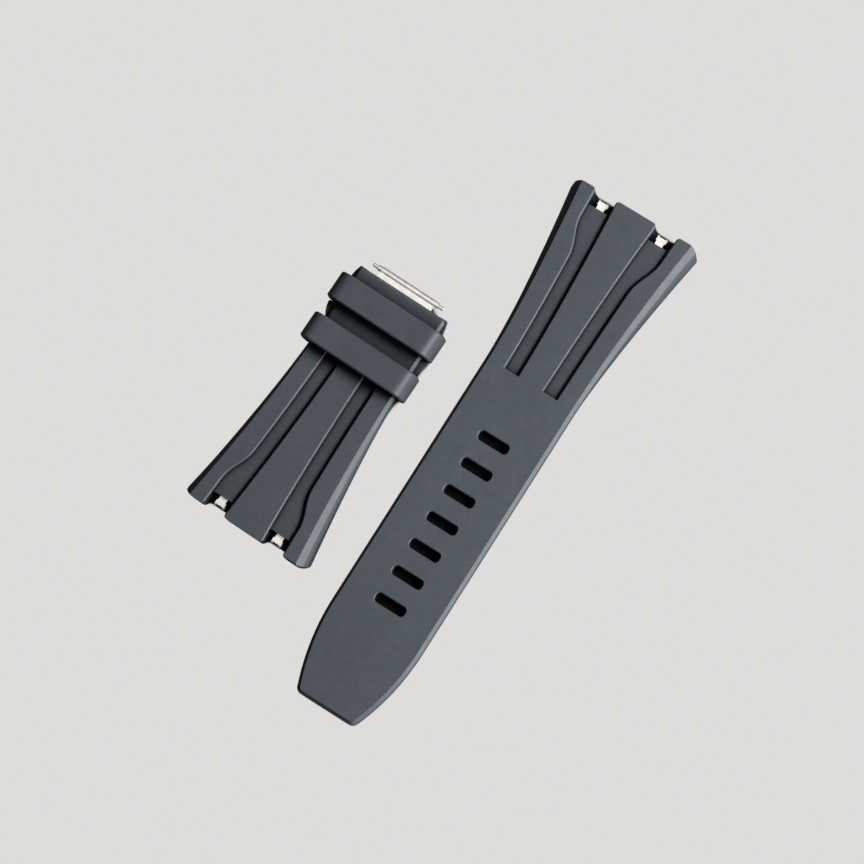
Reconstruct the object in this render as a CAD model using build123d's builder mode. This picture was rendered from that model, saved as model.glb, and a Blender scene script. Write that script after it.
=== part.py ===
from build123d import *
import os

os.makedirs("parts", exist_ok=True)

# Plan sizes of the two rubber halves, half widths taken from the centre line
tail_length = 124.8
buckle_length = 61.3
lug_half_top = 13.75
strap_half_top = 10.5
shoulder_length = 43.0

# Heights of the rubber
lug_thickness = 5.2
tail_thickness = 2.5
buckle_thickness = 2.9

# Sloped top edges and the flare of the lower side walls
lug_bevel = 1.45
tail_bevel = 0.75
buckle_bevel = 0.65
lug_flare = 1.0

# How the shoulder is sampled and how it draws in
station_shares = (0, 0.12, 0.25, 0.4, 0.55, 0.7, 0.85, 1)
shoulder_power = 1.65

# Rounded corners in plan
wing_corner = 3.0
mouth_corner = 0.8
tip_corner = 1.6
buckle_corner = 1.0

# Tapered tip of the tail
tip_taper_length = 19.5
tip_half_width = 7.1
tip_swell_share = 0.62
tip_swell_along_share = 0.6

# Two long grooves each side of the raised centre rib
groove_depth = 1.0
groove_rim = 0.3
rib_half_lug = 5.05
rib_half_middle = 3.88
rib_half_end = 3.2
rail_half_lug = 10.3
rail_half_shoulder = 10.0
rail_half_waist = 7.45
rail_half_middle = 6.93
rail_half_end = 6.55
rail_shoulder_along = 6.0
rail_waist_along = 15.6
rib_middle_share = 0.45
rail_middle_share = 0.63

# Pockets in the case end that hold the metal links
pocket_length = 3.6
shelf_thickness = 1.3
shelf_setback = 1.2
pocket_corner = 0.4

# Holes for the buckle tongue
hole_pitch = 6.82
first_hole_from_tip = 26.1
groove_to_hole = 10.0
hole_width = 7.3
hole_length = 2.25
hole_corner = 0.85
hole_rim = 0.2

# Keepers, two rubber loops round the buckle half
keeper_length = 6.2
keeper_wall = 1.3
keeper_side_gap = 0.9
keeper_gap = 0.2
keeper_corner = 3.0
keeper_inner_corner = 0.4
keeper_rim = 0.3
fixed_keeper_from_end = 6.4
free_keeper_from_end = 16.7

# Stops moulded on the sides of the buckle half
inner_stop_reach = 1.65
outer_stop_reach = 0.6
inner_stop_length = 4.0
outer_stop_length = 3.2
stop_height = 1.9
stop_root = 1.5
stop_corner = 0.4
stop_crown_share = 0.72

# Steel links in the case end, each a plate rolled into an eye
link_width = 2.35
link_plate_width = 1.85
link_strip = 0.25
link_window_width = 1.65
link_window_length = 0.35
link_window_ahead = 0.35
link_bore_radius = 0.5
link_from_end = 1.8
link_height = 2.6
link_offset = 7.4
link_anchor_length = 3.6
link_head_length = 1.2
link_head_width = 4.2

# Steel insert with a rolled eye in the buckle end
insert_width = 14.0
insert_strip = 0.15
insert_rise = 0.25
insert_reach = 1.85
insert_buried = 6.0
key_hole_count = 3
key_hole_pitch = 4.2
key_hole_width = 1.8
key_hole_depth = 3.2

# Spring bar in the rolled eye
tip_radius = 0.4
tip_clearance = 0.03
tip_reach = 1.35
tip_round = 0.3
neck_radius = 0.24
neck_gap = 0.12
head_radius = 0.45
head_length = 1.6
tube_wall = 0.09
bar_clearance = 0.02
collar_radius = 0.62
collar_length = 0.75
collar_lip = 0.4
collar_gap = 0.1
coil_wire = 0.14
coil_side_count = 12

# How the two halves lie beside each other
half_spacing = 35.1
buckle_setback = 22.7
buckle_lean = 1.5

# Common overrun of the cutting shapes
overrun = 1.0

# Each half is laid out from its case end, with its length along Y
tail_base = Plane(origin=(half_spacing / 2, tail_length / 2, 0), x_dir=(-1, 0, 0))
buckle_end_plane = Plane(origin=(-half_spacing / 2, buckle_setback - tail_length / 2, 0))
buckle_base = buckle_end_plane.rotated((0, 0, -buckle_lean))

# Height of the buckle half over the surface, which makes room for the keepers
lift = keeper_wall + keeper_gap


def at(base, plane):
    """A plane of one half, carried to where that half lies."""
    return Plane(base * plane)


def fade(share):
    """Falls smoothly from one at the case end to zero at the end of the shoulder."""
    return 1 - share * share * (3 - 2 * share)


def top_height(share, rise, thickness):
    """Height of the top face along the shoulder."""
    strap_top = rise + thickness
    return strap_top + (lug_thickness - strap_top) * fade(share)


def shoulder_sections(base, rise, thickness, bevel):
    """Cross sections of the rubber from the case end to the end of the shoulder."""
    sections = []
    for share in station_shares:
        rest = 1 - share
        half_top = strap_half_top + (lug_half_top - strap_half_top) * rest**shoulder_power
        slope = bevel + (lug_bevel - bevel) * rest
        half_edge = half_top + slope
        half_foot = half_edge + lug_flare * rest
        low = rise * (1 - fade(share))
        high = top_height(share, rise, thickness)
        with BuildSketch(at(base, Plane.XZ.offset(-shoulder_length * share))) as section:
            with BuildLine():
                Polyline(
                    (-half_foot, low),
                    (half_foot, low),
                    (half_edge, high - slope),
                    (half_top, high),
                    (-half_top, high),
                    (-half_edge, high - slope),
                    close=True,
                )
            make_face()
        sections.append(section.sketch)
    return sections


def groove_plan(base, height):
    """Outline of the two grooves seen from above, open at the case end."""
    with BuildSketch(at(base, Plane.XY.offset(height))) as plan:
        with BuildLine():
            rib_middle = (rib_half_middle, shoulder_length * rib_middle_share)
            rail_middle = (rail_half_middle, shoulder_length * rail_middle_share)
            rib = ThreePointArc((rib_half_lug, 0), rib_middle, (rib_half_end, shoulder_length))
            closed_end = Line(rib @ 1, (rail_half_end, shoulder_length))
            waist = (rail_half_waist, rail_waist_along)
            rail = ThreePointArc(closed_end @ 1, rail_middle, waist)
            flank = Spline(
                rail @ 1,
                (rail_half_shoulder, rail_shoulder_along),
                tangents=[rail % 1, (0, -1)],
            )
            wing = Line(flank @ 1, (rail_half_lug, 0))
            Line(wing @ 1, rib @ 0)
        make_face()
        mirror(about=Plane.YZ)
    return plan.sketch


def groove_form(base, rise, thickness):
    """Space above the groove floors, which follow the top face down the shoulder."""
    floors = []
    for share in station_shares:
        floor_height = top_height(share, rise, thickness) - groove_depth
        with BuildSketch(at(base, Plane.XZ.offset(-shoulder_length * share))) as floor:
            with BuildLine():
                Polyline(
                    (-lug_half_top, floor_height),
                    (lug_half_top, floor_height),
                    (lug_half_top, lug_thickness + overrun),
                    (-lug_half_top, lug_thickness + overrun),
                    close=True,
                )
            make_face()
        floors.append(floor.sketch)
    plan = groove_plan(base, 0)
    with BuildPart() as space:
        loft(floors)
        extrude(plan, amount=lug_thickness + overrun, mode=Mode.INTERSECT)
    return space.part


def groove_mouth(reach):
    """The grooves seen from above, from the case end as far as the reach."""
    with BuildSketch() as plan:
        add(groove_plan(Plane.XY, 0))
        with Locations((0, reach / 2)):
            Rectangle(2 * lug_half_top, reach, mode=Mode.INTERSECT)
    return plan.sketch


def groove_rims(base, rise, thickness):
    """Long upper edges of the groove walls, just after the grooves are cut."""
    rims = []
    for edge in edges(Select.LAST):
        middle = base.to_local_coords(edge @ 0.5)
        top = top_height(middle.Y / shoulder_length, rise, thickness)
        if middle.Z > top - groove_rim and 0 < middle.Y < shoulder_length - overrun:
            rims.append(edge)
    return rims


def shoulder_form(base, rise, thickness, bevel):
    """The flaring rubber of the case end, with its grooves and their softened rims."""
    sections = shoulder_sections(base, rise, thickness, bevel)
    grooves = groove_form(base, rise, thickness)
    with BuildPart() as shoulder:
        loft(sections)
        add(grooves, mode=Mode.SUBTRACT)
        chamfer(groove_rims(base, rise, thickness), length=groove_rim)
    return shoulder.part


def shape_case_end(base, length):
    """Cuts link pockets and rounded corners into the half being built."""
    with BuildSketch(at(base, Plane.XY.offset(shelf_thickness))) as pockets:
        add(groove_mouth(pocket_length))
        fillet(pockets.vertices().group_by(Axis.Y)[-1], radius=pocket_corner)
    extrude(pockets.sketch, amount=lug_thickness, mode=Mode.SUBTRACT)
    half_foot = lug_half_top + lug_bevel + lug_flare
    with BuildSketch(at(base, Plane.XY)) as foot_print:
        with Locations((0, (length + overrun) / 2)):
            Rectangle(2 * half_foot, length + overrun)
        add(groove_mouth(shelf_setback), mode=Mode.SUBTRACT)
        corners = foot_print.vertices().group_by(Axis.Y)[0].sort_by(Axis.X)
        fillet([corners[0], corners[-1]], radius=wing_corner)
        corners = foot_print.vertices().group_by(Axis.Y)[0].sort_by(Axis.X)
        fillet(corners[1:-1], radius=mouth_corner)
    extrude(foot_print.sketch, amount=lug_thickness + overrun, mode=Mode.INTERSECT)


def link_form(base, side):
    """A plate rolled into an eye with a window through it, and a tail buried in the rubber."""
    eye_radius = link_bore_radius + link_strip
    tail_end = pocket_length + link_anchor_length
    neck_start = link_from_end + eye_radius
    side_x = side * link_offset
    with BuildPart() as link:
        with BuildSketch(at(base, Plane.YZ.offset(side_x))) as eye:
            with Locations((link_from_end, link_height)):
                Circle(eye_radius)
            with Locations(((link_from_end + neck_start) / 2, link_height + eye_radius - link_strip / 2)):
                Rectangle(eye_radius, link_strip)
            with Locations((link_from_end, link_height)):
                Circle(link_bore_radius, mode=Mode.SUBTRACT)
        extrude(amount=link_width / 2, both=True)
        with BuildSketch(at(base, Plane.XY.offset(link_height + link_bore_radius))) as plate:
            with Locations((side_x, (neck_start + tail_end) / 2)):
                Rectangle(link_plate_width, tail_end - neck_start)
            with Locations((side_x, tail_end - link_head_length / 2)):
                Rectangle(link_head_width, link_head_length)
        extrude(amount=link_strip)
        with BuildSketch(at(base, Plane.XY.offset(link_height))) as window:
            with Locations((side_x, link_from_end - link_window_ahead)):
                Rectangle(link_window_width, link_window_length)
        extrude(amount=eye_radius, both=True, mode=Mode.SUBTRACT)
    return link.part


# Steel links of the tail half
with BuildPart() as tail_link_left:
    add(link_form(tail_base, 1))
tail_link_left.part.label = "tail_link_left"
export_step(tail_link_left.part, "parts/tail_link_left.step")

with BuildPart() as tail_link_right:
    add(link_form(tail_base, -1))
tail_link_right.part.label = "tail_link_right"
export_step(tail_link_right.part, "parts/tail_link_right.step")

# Long half with the tongue holes
with BuildPart() as tail_strap:
    tail_half_edge = strap_half_top + tail_bevel
    with BuildSketch(at(tail_base, Plane.XY)) as tail_plan:
        with BuildLine():
            plan_start = shoulder_length - 2 * tail_bevel
            taper_start = tail_length - tip_taper_length
            swell_x = tip_half_width + (tail_half_edge - tip_half_width) * tip_swell_share
            swell_y = tail_length - tip_taper_length * (1 - tip_swell_along_share)
            side = Line((tail_half_edge, plan_start), (tail_half_edge, taper_start))
            taper = ThreePointArc(side @ 1, (swell_x, swell_y), (tip_half_width, tail_length))
            mirror(about=Plane.YZ)
            Line(taper @ 1, (-tip_half_width, tail_length))
            Line(side @ 0, (-tail_half_edge, plan_start))
        make_face()
        fillet(tail_plan.vertices().group_by(Axis.Y)[-1], radius=tip_corner)
    extrude(amount=tail_thickness)
    chamfer(tail_strap.faces().sort_by(Axis.Z)[-1].outer_wire().edges(), length=tail_bevel)
    split(bisect_by=at(tail_base, Plane.XZ.offset(-shoulder_length)), keep=Keep.BOTTOM)
    add(shoulder_form(tail_base, 0, tail_thickness, tail_bevel))
    shape_case_end(tail_base, tail_length)
    hole_row = tail_length - first_hole_from_tip - shoulder_length - groove_to_hole
    hole_count = int(hole_row / hole_pitch) + 1
    row_middle = tail_length - first_hole_from_tip - hole_pitch * (hole_count - 1) / 2
    with BuildSketch(at(tail_base, Plane.XY)) as tongue_holes:
        with Locations((0, row_middle)):
            with GridLocations(0, hole_pitch, 1, hole_count):
                RectangleRounded(hole_width, hole_length, hole_corner)
    extrude(amount=tail_thickness, mode=Mode.SUBTRACT)
    flat_top = tail_strap.faces().filter_by(Plane.XY).sort_by(Axis.Z)[-1]
    chamfer([edge for wire in flat_top.inner_wires() for edge in wire.edges()], length=hole_rim)
    add(tail_link_left.part, mode=Mode.SUBTRACT)
    add(tail_link_right.part, mode=Mode.SUBTRACT)
tail_strap.part.label = "tail_strap"
export_step(tail_strap.part, "parts/tail_strap.step")

# Steel links of the buckle half
with BuildPart() as buckle_link_left:
    add(link_form(buckle_base, -1))
buckle_link_left.part.label = "buckle_link_left"
export_step(buckle_link_left.part, "parts/buckle_link_left.step")

with BuildPart() as buckle_link_right:
    add(link_form(buckle_base, 1))
buckle_link_right.part.label = "buckle_link_right"
export_step(buckle_link_right.part, "parts/buckle_link_right.step")

# Spring bar sizes that follow from the pins it guides
mouth_radius = tip_radius + tip_clearance
bore_radius = head_radius + tip_clearance
tube_radius = bore_radius + tube_wall
eye_bore_radius = tube_radius + bar_clearance
bar_along = buckle_length + insert_reach
bar_height = lift + buckle_thickness / 2
collar_start = insert_width / 2 + collar_gap
collar_end = collar_start + collar_length
lip_start = collar_end - collar_lip
head_end = lip_start - tip_clearance
head_start = head_end - head_length

# Steel insert, a folded strip whose eye stands out of the buckle end
with BuildPart() as buckle_insert:
    buried_end = buckle_length - insert_buried
    with BuildSketch(at(buckle_base, Plane.YZ)) as insert_profile:
        with Locations((bar_along, bar_height)):
            Circle(eye_bore_radius + insert_strip)
        with Locations(((buried_end + bar_along) / 2, bar_height + insert_rise)):
            Rectangle(bar_along - buried_end, 2 * insert_strip)
        with Locations((bar_along, bar_height)):
            Circle(eye_bore_radius, mode=Mode.SUBTRACT)
    extrude(amount=insert_width / 2, both=True)
    with BuildSketch(at(buckle_base, Plane.XY.offset(bar_height + insert_rise))) as key_holes:
        with Locations((0, buckle_length - key_hole_depth)):
            with GridLocations(key_hole_pitch, 0, key_hole_count, 1):
                Rectangle(key_hole_width, key_hole_width)
    extrude(amount=2 * insert_strip, both=True, mode=Mode.SUBTRACT)
buckle_insert.part.label = "buckle_insert"
export_step(buckle_insert.part, "parts/buckle_insert.step")

# Keepers, sized for the strap and the tail that lies on it
opening_height = buckle_thickness + tail_thickness + 2 * keeper_gap
opening_half = strap_half_top + buckle_bevel + keeper_side_gap
keeper_height = opening_height + 2 * keeper_wall
keeper_width = 2 * (opening_half + keeper_wall)


def keeper_form(from_end):
    """Rounded rectangular loop, centred at a distance from the buckle end."""
    middle = at(buckle_base, Plane.XZ.offset(from_end - buckle_length))
    with BuildPart() as keeper:
        with BuildSketch(at(middle, Plane.XY)) as loop:
            with Locations((0, keeper_height / 2)):
                RectangleRounded(keeper_width, keeper_height, keeper_corner)
                RectangleRounded(2 * opening_half, opening_height, keeper_inner_corner, mode=Mode.SUBTRACT)
        extrude(amount=keeper_length / 2, both=True)
        along = Axis(origin=middle.origin, direction=middle.z_dir)
        ends = keeper.faces().sort_by(along)
        rims = ends[0].outer_wire().edges() + ends[-1].outer_wire().edges()
        chamfer(rims, length=keeper_rim)
    return keeper.part


with BuildPart() as fixed_keeper:
    add(keeper_form(fixed_keeper_from_end))
fixed_keeper.part.label = "fixed_keeper"
export_step(fixed_keeper.part, "parts/fixed_keeper.step")

with BuildPart() as free_keeper:
    add(keeper_form(free_keeper_from_end))
free_keeper.part.label = "free_keeper"
export_step(free_keeper.part, "parts/free_keeper.step")

# Short half that carries the buckle and the keepers
with BuildPart() as buckle_strap:
    buckle_half_edge = strap_half_top + buckle_bevel
    with BuildSketch(at(buckle_base, Plane.XY.offset(lift))) as buckle_plan:
        block_start = shoulder_length - 2 * buckle_bevel
        with Locations((0, (block_start + buckle_length) / 2)):
            Rectangle(2 * buckle_half_edge, buckle_length - block_start)
        fillet(buckle_plan.vertices().group_by(Axis.Y)[-1], radius=buckle_corner)
    extrude(amount=buckle_thickness)
    chamfer(buckle_strap.faces().sort_by(Axis.Z)[-1].outer_wire().edges(), length=buckle_bevel)
    split(bisect_by=at(buckle_base, Plane.XZ.offset(-shoulder_length)), keep=Keep.BOTTOM)
    add(shoulder_form(buckle_base, lift, buckle_thickness, buckle_bevel))
    shape_case_end(buckle_base, buckle_length)

    # Stops each side of the fixed keeper, highest where they face it
    keeper_middle = buckle_length - fixed_keeper_from_end
    stop_face = keeper_length / 2 + keeper_gap
    root_x = buckle_half_edge - stop_root
    inner_stop = (-1, inner_stop_length, inner_stop_reach)
    outer_stop = (1, outer_stop_length, outer_stop_reach)
    for direction, stop_length, stop_reach in (inner_stop, outer_stop):
        crest_x = buckle_half_edge + stop_reach
        thick_end = keeper_middle + direction * stop_face
        thin_end = thick_end + direction * stop_length
        with BuildSketch(at(buckle_base, Plane.XY.offset(lift))) as stop_plan:
            with BuildLine():
                Polyline((root_x, thin_end), (root_x, thick_end), (crest_x, thick_end))
                crown = (
                    buckle_half_edge + stop_reach * stop_crown_share,
                    (thick_end + thin_end) / 2,
                )
                ThreePointArc((crest_x, thick_end), crown, (buckle_half_edge, thin_end))
                Line((buckle_half_edge, thin_end), (root_x, thin_end))
            make_face()
            fillet(stop_plan.vertices().sort_by(Axis.X)[-1], radius=stop_corner)
            mirror(about=Plane.YZ)
        extrude(amount=stop_height)

    add(buckle_link_left.part, mode=Mode.SUBTRACT)
    add(buckle_link_right.part, mode=Mode.SUBTRACT)
    add(buckle_insert.part, mode=Mode.SUBTRACT)
buckle_strap.part.label = "buckle_strap"
export_step(buckle_strap.part, "parts/buckle_strap.step")

# Spring bar, a collared tube that turns in the eye and guides two sprung pins
bar_plane = at(buckle_base, Plane(origin=(0, bar_along, bar_height), z_dir=(1, 0, 0)))
with BuildPart(bar_plane) as spring_bar_tube:
    Cylinder(tube_radius, 2 * collar_end)
    with Locations((0, 0, (collar_start + collar_end) / 2), (0, 0, -(collar_start + collar_end) / 2)):
        Cylinder(collar_radius, collar_length)
    Cylinder(bore_radius, 2 * lip_start, mode=Mode.SUBTRACT)
    Cylinder(mouth_radius, 2 * collar_end, mode=Mode.SUBTRACT)
spring_bar_tube.part.label = "spring_bar_tube"
export_step(spring_bar_tube.part, "parts/spring_bar_tube.step")


def tip_form(direction):
    """Pin with a round end outside the collar, a neck in its mouth and a head in the tube."""
    side = at(buckle_base, Plane(origin=(0, bar_along, bar_height), z_dir=(direction, 0, 0)))
    with BuildPart() as pin:
        with BuildSketch(at(side, Plane.XZ)) as profile:
            with BuildLine():
                Polyline(
                    (0, head_start),
                    (head_radius, head_start),
                    (head_radius, head_end),
                    (neck_radius, head_end),
                    (neck_radius, collar_end + neck_gap),
                    (tip_radius, collar_end + neck_gap),
                    (tip_radius, collar_end + tip_reach),
                    (0, collar_end + tip_reach),
                    close=True,
                )
            make_face()
            fillet(profile.vertices().group_by(Axis.Y)[-1].sort_by(Axis.X)[-1], radius=tip_round)
        revolve(axis=Axis(origin=side.origin, direction=side.z_dir))
    return pin.part


with BuildPart() as spring_bar_tip_left:
    add(tip_form(-1))
spring_bar_tip_left.part.label = "spring_bar_tip_left"
export_step(spring_bar_tip_left.part, "parts/spring_bar_tip_left.step")

with BuildPart() as spring_bar_tip_right:
    add(tip_form(1))
spring_bar_tip_right.part.label = "spring_bar_tip_right"
export_step(spring_bar_tip_right.part, "parts/spring_bar_tip_right.step")

# Coil between the inner ends of the pins, drawn as the many-sided sleeve that it fills
with BuildPart() as spring_bar_coil:
    coil_radius = bore_radius - tip_clearance
    with BuildSketch(bar_plane):
        RegularPolygon(coil_radius, coil_side_count)
        RegularPolygon(coil_radius - coil_wire, coil_side_count, mode=Mode.SUBTRACT)
    extrude(amount=head_start - tip_clearance, both=True)
spring_bar_coil.part.label = "spring_bar_coil"
export_step(spring_bar_coil.part, "parts/spring_bar_coil.step")
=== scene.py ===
import math

import bpy
from mathutils import Euler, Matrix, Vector

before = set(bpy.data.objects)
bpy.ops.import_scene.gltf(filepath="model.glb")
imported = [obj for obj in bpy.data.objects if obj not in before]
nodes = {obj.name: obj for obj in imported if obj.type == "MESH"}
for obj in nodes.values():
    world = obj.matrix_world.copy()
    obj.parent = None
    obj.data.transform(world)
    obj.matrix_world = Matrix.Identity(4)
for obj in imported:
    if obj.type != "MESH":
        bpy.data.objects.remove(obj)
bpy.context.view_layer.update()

# Camera, in metres and radians, with its lens in millimetres
CAMERA_PLACE = (0.12763, -0.0609, 0.77033)
CAMERA_TURN = (0.1504, 0.0917, 0.56829)
CAMERA_LENS = 152.342
SENSOR = 36.0
CLIP_START, CLIP_END = 0.01, 20.0
IMAGE_MIDDLE = Vector((0.006, 0.003, 0.0))

# Ground and the air above it, as the camera, mirrors and all other light see them
GROUND = (0.730, 0.723, 0.708)
GROUND_SIZE = 3.0
GROUND_DROP = 0.00002
GROUND_IN_MIRRORS = 0.15
GROUND_FOR_LIGHT = (0.08, 0.08, 0.08)
AIR_IN_MIRRORS = 0.04
AIR_FOR_LIGHT = (0.008, 0.008, 0.008)

# Painted shadow on the ground: black in the tongue holes and darker along the straps, looked for
# only near the straps, and kept paler on the side of the buckle half, which lies higher
PAINTED_SHADOW = (0.005, 0.005, 0.005)
PAINTED_SHADOW_REACH = 0.02
PAINTED_SHADOW_SAMPLES = 64
PAINTED_SHADOW_EDGE = (0.46, 0.54)
BUCKLE_SIDE_LIFT = 0.12
NEAR_MIDDLE = (0.0375, 0.0, 0.0)
NEAR_REACH = (0.078, 0.068)
TAIL_REACH = 0.038

# Rubber: its tone, shares of the tone, the painted shade in its corners, and weights of the
# patterns in it
RUBBER = (0.073, 0.087, 0.101)
# The keepers' rubber is the straps' rubber painted lighter, as painted light that makes up for
# the lamp's weaker light on them
KEEPER_RUBBER_PAINTED_LIGHTER = (0.083, 0.096, 0.113)
# Paler and deeper patches of the tone, and the share of the tone left in the painted shade of
# corners
PALE, DEEP, PAINTED_SHADE_SHARE = 1.14, 0.86, 0.12
FLOW_WEIGHT, BLOOM_WEIGHT, SPECKLE_WEIGHT = 0.3, 0.2, 0.5
GRAIN_WEIGHT = 0.7
GRAIN_DEPTH = 0.00002
# How far the painted shade of corners looks, its samples, and the tilt from which a face counts
# as looking up, where that painted shade is strongest
PAINTED_SHADE_REACH = 0.006
PAINTED_SHADE_SAMPLES = 8
PAINTED_SHADE_TOP_TILT = (0.85, 0.97)
RUBBER_SHINE = 0.4

# Steel: its tone, the share of it in dull places, and its fine lines
STEEL = (0.93, 0.912, 0.85)
DULL = 0.86
STREAK_WEIGHT, SMEAR_WEIGHT = 0.6, 0.4
STREAK_DEPTH = 0.00001
LINE_LENGTH = 12

# Inputs and output of a Mix node for colours
MIX_SHARE, MIX_FIRST, MIX_SECOND, MIX_COLOUR = 0, 6, 7, 2

# A metre in millimetres, and the range of noise that holds most of its values
METRE = 1000
MIDDLE_RANGE = (0.3, 0.7)


class Wire:
    """The output of a shader node, which can be used in sums."""

    def __init__(self, tree, socket):
        self.tree = tree
        self.socket = socket

    def maths(self, operation, other):
        return self.tree.maths(operation, self, other)

    def __add__(self, other):
        return self.maths("ADD", other)

    def __radd__(self, other):
        return self.tree.maths("ADD", other, self)

    def __sub__(self, other):
        return self.maths("SUBTRACT", other)

    def __rsub__(self, other):
        return self.tree.maths("SUBTRACT", other, self)

    def __mul__(self, other):
        return self.maths("MULTIPLY", other)

    def __rmul__(self, other):
        return self.tree.maths("MULTIPLY", other, self)


class Tree:
    """A node tree with a plain way to add its nodes."""

    def __init__(self, tree):
        self.tree = tree

    def node(self, kind, settings=None, values=(), output=0):
        """Adds a node, sets it up, joins its inputs and gives one of its outputs."""
        made = self.tree.nodes.new(kind)
        for name, value in (settings or {}).items():
            setattr(made, name, value)
        pairs = values.items() if isinstance(values, dict) else enumerate(values)
        for key, value in pairs:
            self.join(made.inputs[key], value)
        return Wire(self, made.outputs[output])

    def join(self, socket, value):
        if isinstance(value, Wire):
            self.tree.links.new(value.socket, socket)
        else:
            socket.default_value = value

    def maths(self, operation, first, second):
        return self.node("ShaderNodeMath", {"operation": operation}, [first, second])

    def vector_maths(self, operation, *vectors):
        return self.node("ShaderNodeVectorMath", {"operation": operation}, vectors)

    def axis(self, vector, letter):
        return self.node("ShaderNodeSeparateXYZ", None, [vector], letter)

    def ray(self, kind):
        return self.node("ShaderNodeLightPath", output=kind)

    def open_share(self, reach, samples):
        """One where nothing is near, and less in corners and holes."""
        return self.node(
            "ShaderNodeAmbientOcclusion", {"samples": samples}, {"Distance": reach}, "AO"
        )

    def spread(self, value, low, high, to_low=0.0, to_high=1.0):
        """Carries a value from one range to another and stops at its ends."""
        values = {
            "Value": value,
            "From Min": low,
            "From Max": high,
            "To Min": to_low,
            "To Max": to_high,
        }
        return self.node("ShaderNodeMapRange", {"clamp": True}, values)

    def blend(self, share, first, second):
        """A colour between two colours."""
        colours = [(*c, 1) if isinstance(c, tuple) else c for c in (first, second)]
        values = {MIX_SHARE: share, MIX_FIRST: colours[0], MIX_SECOND: colours[1]}
        return self.node("ShaderNodeMix", {"data_type": "RGBA"}, values, MIX_COLOUR)


class Finish(Tree):
    """A material with the patterns that this object's finishes are made of."""

    def __init__(self, name):
        self.material = bpy.data.materials.new(name)
        self.material.use_nodes = True
        super().__init__(self.material.node_tree)
        self.skin = self.tree.nodes["Principled BSDF"]

    def set(self, **values):
        for name, value in values.items():
            self.join(self.skin.inputs[name.replace("_", " ")], value)

    def noise(self, size, detail=3.0, roughness=0.55, stretch=(1, 1, 1)):
        """Noise from zero to one whose blotches are about as wide as the size in millimetres."""
        place = self.node("ShaderNodeTexCoord", output="Object")
        scale = [METRE / s for s in stretch]
        values = {
            "Vector": self.node("ShaderNodeMapping", None, {"Vector": place, "Scale": scale}),
            "Scale": 1 / size,
            "Detail": detail,
            "Roughness": roughness,
        }
        return self.node("ShaderNodeTexNoise", {"noise_dimensions": "3D"}, values)

    def bump(self, height, depth, strength):
        """Small relief, with its depth in metres."""
        values = {"Strength": strength, "Distance": depth, "Height": height}
        return self.node("ShaderNodeBump", None, values)


def part_of(tone, share):
    return tuple(c * share for c in tone)


def moulded_rubber(
    name, tone, roughness=(0.5, 0.6), painted_shade_top=(0.6, 0.93), painted_shade_sides=(0.42, 0.95)
):
    """Matte rubber with a fine moulded grain, slow changes of tone and painted shade that darkens
    its corners.
    """
    rubber = Finish(name)
    grain = rubber.noise(size=0.16, detail=2.0)
    flow = rubber.noise(size=9.0, stretch=(1, 3, 1))
    bloom = rubber.noise(size=2.2, detail=5.0, roughness=0.65)
    speckle = rubber.noise(size=0.3, detail=2.0, roughness=0.7)
    patches = rubber.spread(
        FLOW_WEIGHT * flow + BLOOM_WEIGHT * bloom + SPECKLE_WEIGHT * speckle, low=0.38, high=0.62
    )
    shade = rubber.blend(patches, part_of(tone, DEEP), part_of(tone, PALE))

    # Painted shade: corners are darkened in the base colour, most of all on faces that look up
    open_share = rubber.open_share(PAINTED_SHADE_REACH, PAINTED_SHADE_SAMPLES)
    facing = rubber.node("ShaderNodeNewGeometry", output="Normal")
    upward = rubber.spread(rubber.axis(facing, "Z"), *PAINTED_SHADE_TOP_TILT)
    painted_lit_top = rubber.spread(open_share, *painted_shade_top)
    painted_lit_sides = rubber.spread(open_share, *painted_shade_sides)
    painted_lit_share = upward * painted_lit_top + (1 - upward) * painted_lit_sides

    rubber.set(
        Base_Color=rubber.blend(painted_lit_share, part_of(tone, PAINTED_SHADE_SHARE), shade),
        Roughness=rubber.spread(bloom, *MIDDLE_RANGE, *roughness),
        Specular_IOR_Level=RUBBER_SHINE,
        Normal=rubber.bump(
            GRAIN_WEIGHT * grain + (1 - GRAIN_WEIGHT) * bloom, depth=GRAIN_DEPTH, strength=0.35
        ),
    )
    return rubber.material


def bright_steel(name, stretch):
    """Bright steel with fine lines left by the tool, long where it is stretched."""
    steel = Finish(name)
    streaks = steel.noise(size=0.12, stretch=stretch)
    smear = steel.noise(size=1.6)
    worn = STREAK_WEIGHT * streaks + SMEAR_WEIGHT * smear
    steel.set(
        Base_Color=steel.blend(steel.spread(smear, *MIDDLE_RANGE), part_of(STEEL, DULL), STEEL),
        Metallic=1.0,
        Roughness=steel.spread(worn, *MIDDLE_RANGE, to_low=0.45, to_high=0.6),
        Normal=steel.bump(streaks, depth=STREAK_DEPTH, strength=0.4),
    )
    return steel.material


# Each rubber gets its own strength of painted shade in its corners
tail_rubber = moulded_rubber("tail_rubber", RUBBER)
buckle_rubber = moulded_rubber(
    "buckle_rubber", RUBBER, painted_shade_top=(0.65, 0.94), painted_shade_sides=(0.5, 0.95)
)
# The keepers take the rubber tone painted lighter, as painted light
keeper_rubber = moulded_rubber(
    "keeper_rubber", KEEPER_RUBBER_PAINTED_LIGHTER, roughness=(0.4, 0.48), painted_shade_sides=(0.55, 0.97)
)
link_steel = bright_steel("link_steel", (1, LINE_LENGTH, 1))
insert_steel = bright_steel("insert_steel", (LINE_LENGTH, 1, 1))
bar_steel = bright_steel("bar_steel", (1, LINE_LENGTH, LINE_LENGTH))
coil_steel = bright_steel("coil_steel", (1, 1, 1))

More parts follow.
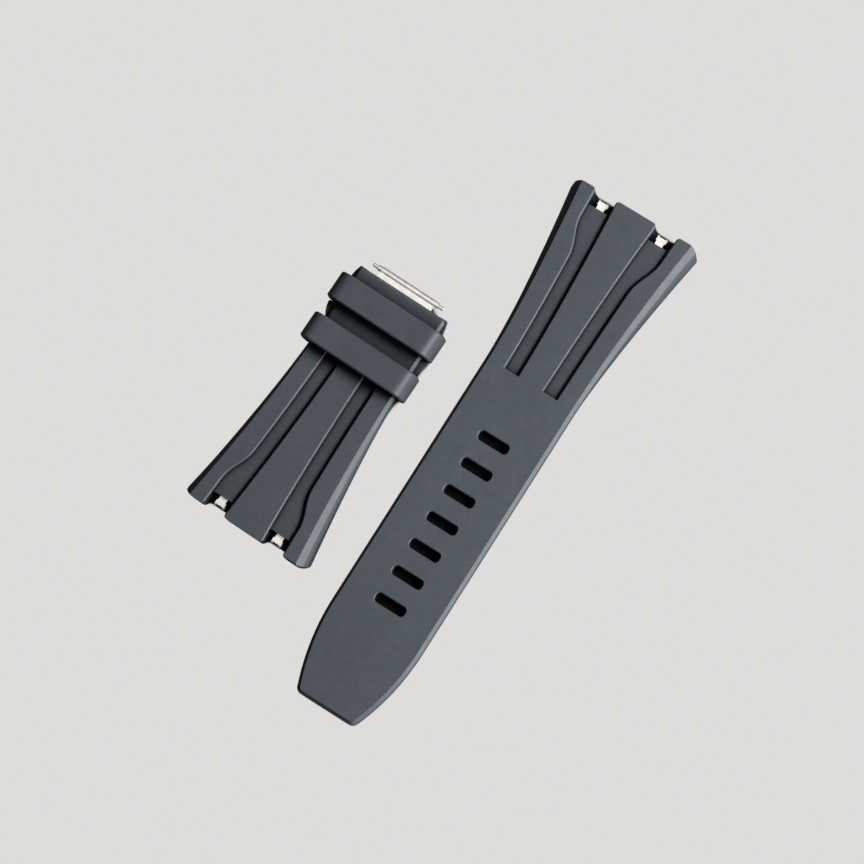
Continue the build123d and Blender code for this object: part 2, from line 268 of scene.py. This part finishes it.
straps = {"tail_strap": tail_rubber, "buckle_strap": buckle_rubber}
keepers = {"fixed_keeper": keeper_rubber, "free_keeper": keeper_rubber}
steel_parts = {
    "tail_link_left": link_steel,
    "tail_link_right": link_steel,
    "buckle_link_left": link_steel,
    "buckle_link_right": link_steel,
    "buckle_insert": insert_steel,
    "spring_bar_tube": bar_steel,
    "spring_bar_tip_left": bar_steel,
    "spring_bar_tip_right": bar_steel,
    "spring_bar_coil": coil_steel,
}
for name, finish in {**straps, **keepers, **steel_parts}.items():
    nodes[name].data.materials.clear()
    nodes[name].data.materials.append(finish)


def camera():
    """The camera at the photograph's angle."""
    data = bpy.data.cameras.new("camera")
    data.lens = CAMERA_LENS
    data.sensor_width = SENSOR
    data.sensor_fit = "HORIZONTAL"
    data.clip_start = CLIP_START
    data.clip_end = CLIP_END
    placed = bpy.data.objects.new("camera", data)
    placed.location = CAMERA_PLACE
    placed.rotation_euler = Euler(CAMERA_TURN, "XYZ")
    bpy.context.scene.collection.objects.link(placed)
    bpy.context.scene.camera = placed


def lamp(name, pieces=None, *, azimuth, elevation, distance, size, power, colour=(1, 1, 1)):
    """A soft lamp that looks at the straps, or lights only some pieces.

    Its azimuth is counted from the picture's right.
    """
    data = bpy.data.lights.new(name, "AREA")
    data.shape = "RECTANGLE"
    data.size, data.size_y = size
    data.energy = power
    data.color = colour
    turn = math.radians(azimuth) + CAMERA_TURN[2]
    rise = math.radians(elevation)
    level = math.cos(rise)
    way = Vector((math.cos(turn) * level, math.sin(turn) * level, math.sin(rise)))
    placed = bpy.data.objects.new(name, data)
    placed.location = IMAGE_MIDDLE + way * distance
    placed.rotation_euler = way.to_track_quat("Z", "Y").to_euler()
    bpy.context.scene.collection.objects.link(placed)
    if pieces:
        receivers = bpy.data.collections.new("lit_by_" + name)
        for piece in pieces:
            receivers.objects.link(nodes[piece])
        placed.light_linking.receiver_collection = receivers


def ground():
    """Pale ground that shows its own colour, with painted shadow: black in the holes and darker
    along the straps.
    """
    bpy.ops.mesh.primitive_plane_add(size=GROUND_SIZE, location=(0, 0, -GROUND_DROP))
    floor = bpy.context.object
    floor.name = "floor"
    paper = Finish("floor")
    glow = paper.node("ShaderNodeEmission", None, {"Color": (*GROUND, 1), "Strength": 1.0})
    painted_shadow_bsdf = paper.node("ShaderNodeBsdfDiffuse", None, {"Color": (*PAINTED_SHADOW, 1)})
    for_light = paper.node("ShaderNodeBsdfDiffuse", None, {"Color": (*GROUND_FOR_LIGHT, 1)})

    place = paper.node("ShaderNodeTexCoord", output="Object")
    apart = paper.vector_maths("ABSOLUTE", paper.vector_maths("SUBTRACT", place, NEAR_MIDDLE))
    across, along = paper.axis(apart, "X"), paper.axis(apart, "Y")
    near = across.maths("LESS_THAN", NEAR_REACH[0]) * along.maths("LESS_THAN", NEAR_REACH[1])
    buckle_side = across.maths("GREATER_THAN", TAIL_REACH)
    open_share = paper.open_share(PAINTED_SHADOW_REACH, PAINTED_SHADOW_SAMPLES) + BUCKLE_SIDE_LIFT * buckle_side
    # Painted shadow: the ground turns near black where it is closed in, as in the tongue holes,
    # with a little painted shade along the straps
    with_painted_shadow = paper.node(
        "ShaderNodeMixShader", None, [paper.spread(open_share, *PAINTED_SHADOW_EDGE), painted_shadow_bsdf, glow]
    )
    shown = paper.node("ShaderNodeMixShader", None, [near, glow, with_painted_shadow])

    seen = paper.ray("Is Camera Ray") + GROUND_IN_MIRRORS * paper.ray("Is Glossy Ray")
    whole = paper.node("ShaderNodeMixShader", None, [paper.spread(seen, 0, 1), for_light, shown])
    paper.join(paper.tree.nodes["Material Output"].inputs["Surface"], whole)
    floor.data.materials.append(paper.material)


def studio():
    """Pale backdrop and the three lamps."""
    world = bpy.data.worlds.new("studio")
    bpy.context.scene.world = world
    world.use_nodes = True
    air = Tree(world.node_tree)
    seen = air.ray("Is Camera Ray").maths("MAXIMUM", AIR_IN_MIRRORS * air.ray("Is Glossy Ray"))
    air.join(air.tree.nodes["Background"].inputs["Color"], air.blend(seen, AIR_FOR_LIGHT, GROUND))

    lamp("key", azimuth=-8, elevation=42, distance=0.65, size=(0.24, 0.24), power=5.9)
    lamp(
        "low", [*straps, *steel_parts], azimuth=-30, elevation=6, distance=0.6,
        size=(0.16, 0.08), power=2.95, colour=(1.0, 0.97, 0.93),
    )
    lamp(
        "overhead", steel_parts, azimuth=127, elevation=79, distance=0.9,
        size=(1.5, 1.5), power=5.5,
    )


camera()
ground()
studio()

bpy.context.scene.view_settings.view_transform = "Standard"
